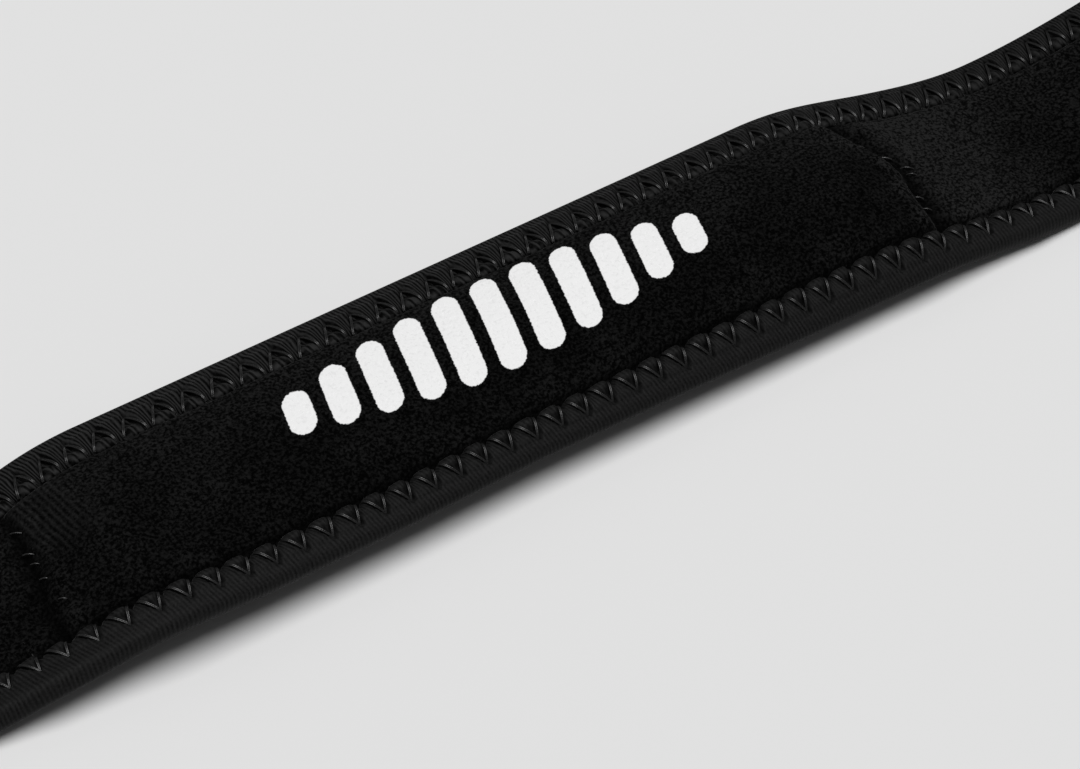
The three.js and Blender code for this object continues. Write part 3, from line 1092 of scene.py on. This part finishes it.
def makeCamera():
    data = bpy.data.cameras.new("camera")
    data.lens = view["lens"]
    data.sensor_width = 36
    data.clip_start = 0.01
    data.clip_end = 20
    camera = addObject("camera", data)
    a = math.radians(view["azimuth"])
    e = math.radians(view["elevation"])
    back = Vector((math.sin(a) * math.cos(e), -math.cos(a) * math.cos(e), math.sin(e)))
    right = Vector((math.cos(a), math.sin(a), 0))
    up = back.cross(right)
    turn = math.radians(view["roll"])
    newRight = right * math.cos(turn) + up * math.sin(turn)
    newUp = up * math.cos(turn) - right * math.sin(turn)
    place = Vector(view["lookAt"]) * mm + back * view["distance"] * mm
    basis = Matrix((newRight, newUp, back)).transposed().to_4x4()
    camera.matrix_world = Matrix.Translation(place) @ basis
    bpy.context.scene.camera = camera
    return camera


light = {
    "floor": 0.8,
    "world": 0.12,
    "sun": 2.6,
    "sunSpread": 42,
    "sunFrom": (0.0, -0.12, 1.0),
}


def makeLight():
    world = bpy.data.worlds.new("studio")
    bpy.context.scene.world = world
    world.use_nodes = True
    shade = world.node_tree.nodes["Background"]
    shade.inputs["Color"].default_value = (1, 1, 1, 1)
    shade.inputs["Strength"].default_value = light["world"]
    data = bpy.data.lights.new("softbox", "SUN")
    data.energy = light["sun"]
    data.angle = math.radians(light["sunSpread"])
    lamp = addObject("softbox", data)
    lamp.rotation_mode = "QUATERNION"
    lamp.rotation_quaternion = Vector(light["sunFrom"]).to_track_quat("Z", "Y")


def makeFloor():
    size = 6.0
    mesh = bpy.data.meshes.new("floor")
    half = size / 2
    corners = [(-half, -half, 0), (half, -half, 0), (half, half, 0), (-half, half, 0)]
    mesh.from_pydata(corners, [], [(0, 1, 2, 3)])
    floor = addObject("floor", mesh)
    material, tree = newMaterial("pale_surface", (0.8, 0.8, 0.8))
    place = objectPlace(tree)
    mottle = noise(tree, place, 40.0)
    colour = mixColour(tree, mottle, grey(light["floor"] * 0.995), grey(light["floor"]))
    finishMaterial(tree, {"Base Color": colour, "Roughness": 0.9, "Specular IOR Level": 0.0})
    floor.data.materials.append(material)


makeCamera()
makeLight()
makeFloor()
print("camera, light and floor made")

bpy.context.scene.view_settings.view_transform = "Standard"
rootBody = next(iter(frame["bodies"]))


# Says what a piece is: the body it rides on, and the CAD node it stands for, which is hidden
def declare(piece, replaced=None):
    if replaced:
        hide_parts(replaced)
    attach(piece, rootBody)


edgeTape = makeTape()
edgeTape.data.materials.append(tapeMaterial())
declare(edgeTape, "edge_binding")
print("edge tape made")

plushBand = makeBand()
plushBand.data.materials.append(plushMaterial())
plushBand.data.materials.append(jerseyMaterial("band_lining", 0.007, 0.02))
declare(plushBand, "band")
print("plush band made")

stitch = {
    "armLength": 4.2,  # of the modelled arm, before it is fitted
    "armEnd": 0.92,  # share of the way to the tape's edge where an arm dives
    "holeHeight": -0.15,  # from the tape's face
    "endHeight": -0.4,
    "underArm": 3.7,
    "underHeight": 0.45,
}


# Two arms for each stitch, from its needle hole towards the notches before and after it
def armPlaces(edge, length, holeHeight, endHeight, outwardSign):
    gaps = np.append(stitchTravel[1:], stitchTravel[0] + path["perimeter"]) - stitchTravel
    ahead = gaps * notchPlace(stitchTravel)
    behind = np.roll(gaps - ahead, 1)
    end = stitch["armEnd"]
    gained = makeOutline(stitchTravel)["armSpread"] * end
    holes, outward = facePoints(stitchTravel, lambda line: edge(line) - length(line), holeHeight)
    ends = []
    for spread in (ahead * gained, -behind * gained):
        reached, facing = facePoints(stitchTravel + spread,
                                     lambda line: edge(line) - length(line) * (1 - end), endHeight)
        ends.append(reached)
    holes = np.tile(holes, (2, 1))
    run = np.concatenate(ends) - holes
    sideways = unit(np.cross(run, np.tile(outward, (2, 1)) * outwardSign))
    stretch = np.linalg.norm(run, axis=1) / stitch["armLength"]
    return holes, sideways, unit(np.cross(sideways, run)), stretch


thread = threadMaterial()
arm = armTree()
bar = barTree()
full = strap["edgeThickness"]
spots, along, outward, stretch = armPlaces(lambda line: line["reach"], lambda line: line["armLength"],
                                           full + stitch["holeHeight"], full + stitch["endHeight"], 1)
edgeStitches = grow("edgeStitches", spots, along, outward, arm, thread, {}, stretch)
declare(edgeStitches)
underSizes = {"Crest": 0.15 * mm, "Dive": 0.2 * mm, "Hole Depth": 0.2 * mm, "Seed": 13}
spots, along, outward, stretch = armPlaces(lambda line: tape["under"] + 0 * line["x"],
                                           lambda line: stitch["underArm"],
                                           stitch["underHeight"], stitch["underHeight"], -1)
underStitches = grow("underStitches", spots, along, outward, arm, thread, underSizes, stretch)
declare(underStitches)
print("edge stitches sewn")


# The cross seam stitches that show: place, and how far they stand out of the pile
seamSpots = ((-92.0, 9.0, -0.1), (-92.7, 3.6, 0.05), (-92.9, 1.1, 0.2), (-93.1, -2.6, 0.1),
             (-93.0, -8.5, 0.1), (89.3, 8.2, -0.1), (92.2, 4.0, -0.05), (94.9, 0.2, 0.2),
             (94.4, -1.9, 0.1), (91.2, -8.0, 0.0), (90.9, -11.0, 0.0))


def seamPlaces():
    x, y, out = np.array(seamSpots).T
    z = underside(x, y) + strap["faceThickness"] + np.maximum(seamRelief(x, y), -0.5) + out
    along = np.tile((-0.83, 0.56, 0.0), (len(x), 1))
    return np.stack([x, y, z], axis=1), along, np.tile((0.0, 0.0, 1.0), (len(x), 1))


spots, along, outward = seamPlaces()
seamStitches = grow("seamStitches", spots, along, outward, bar, thread, {"Seed": 21, "Unevenness": 0.25})
declare(seamStitches)

tubePad = makePad()
tubePad.data.materials.append(jerseyMaterial("pad_jersey", 0.009, 0.026))
declare(tubePad, "pad")
print("pad made")

hookPlate = makeTab()
hookTape = tabMaterial()
hookPlate.data.materials.append(hookTape)
declare(hookPlate, "hook_tab")
hooks = grow("hooks", *tabPoints(*hookPlaces()), hookTree(), hookTape, {})
declare(hooks)
tabSeam = tabPoints(*tabOutline(tab["seamInset"], tab["seamStitch"]))
seamAlong = unit(np.roll(tabSeam[0], -1, axis=0) - tabSeam[0])
tabStitches = grow("tabStitches", tabSeam[0], seamAlong, tabSeam[2], bar, thread, {"Seed": 31})
declare(tabStitches)
print("hook tab made")
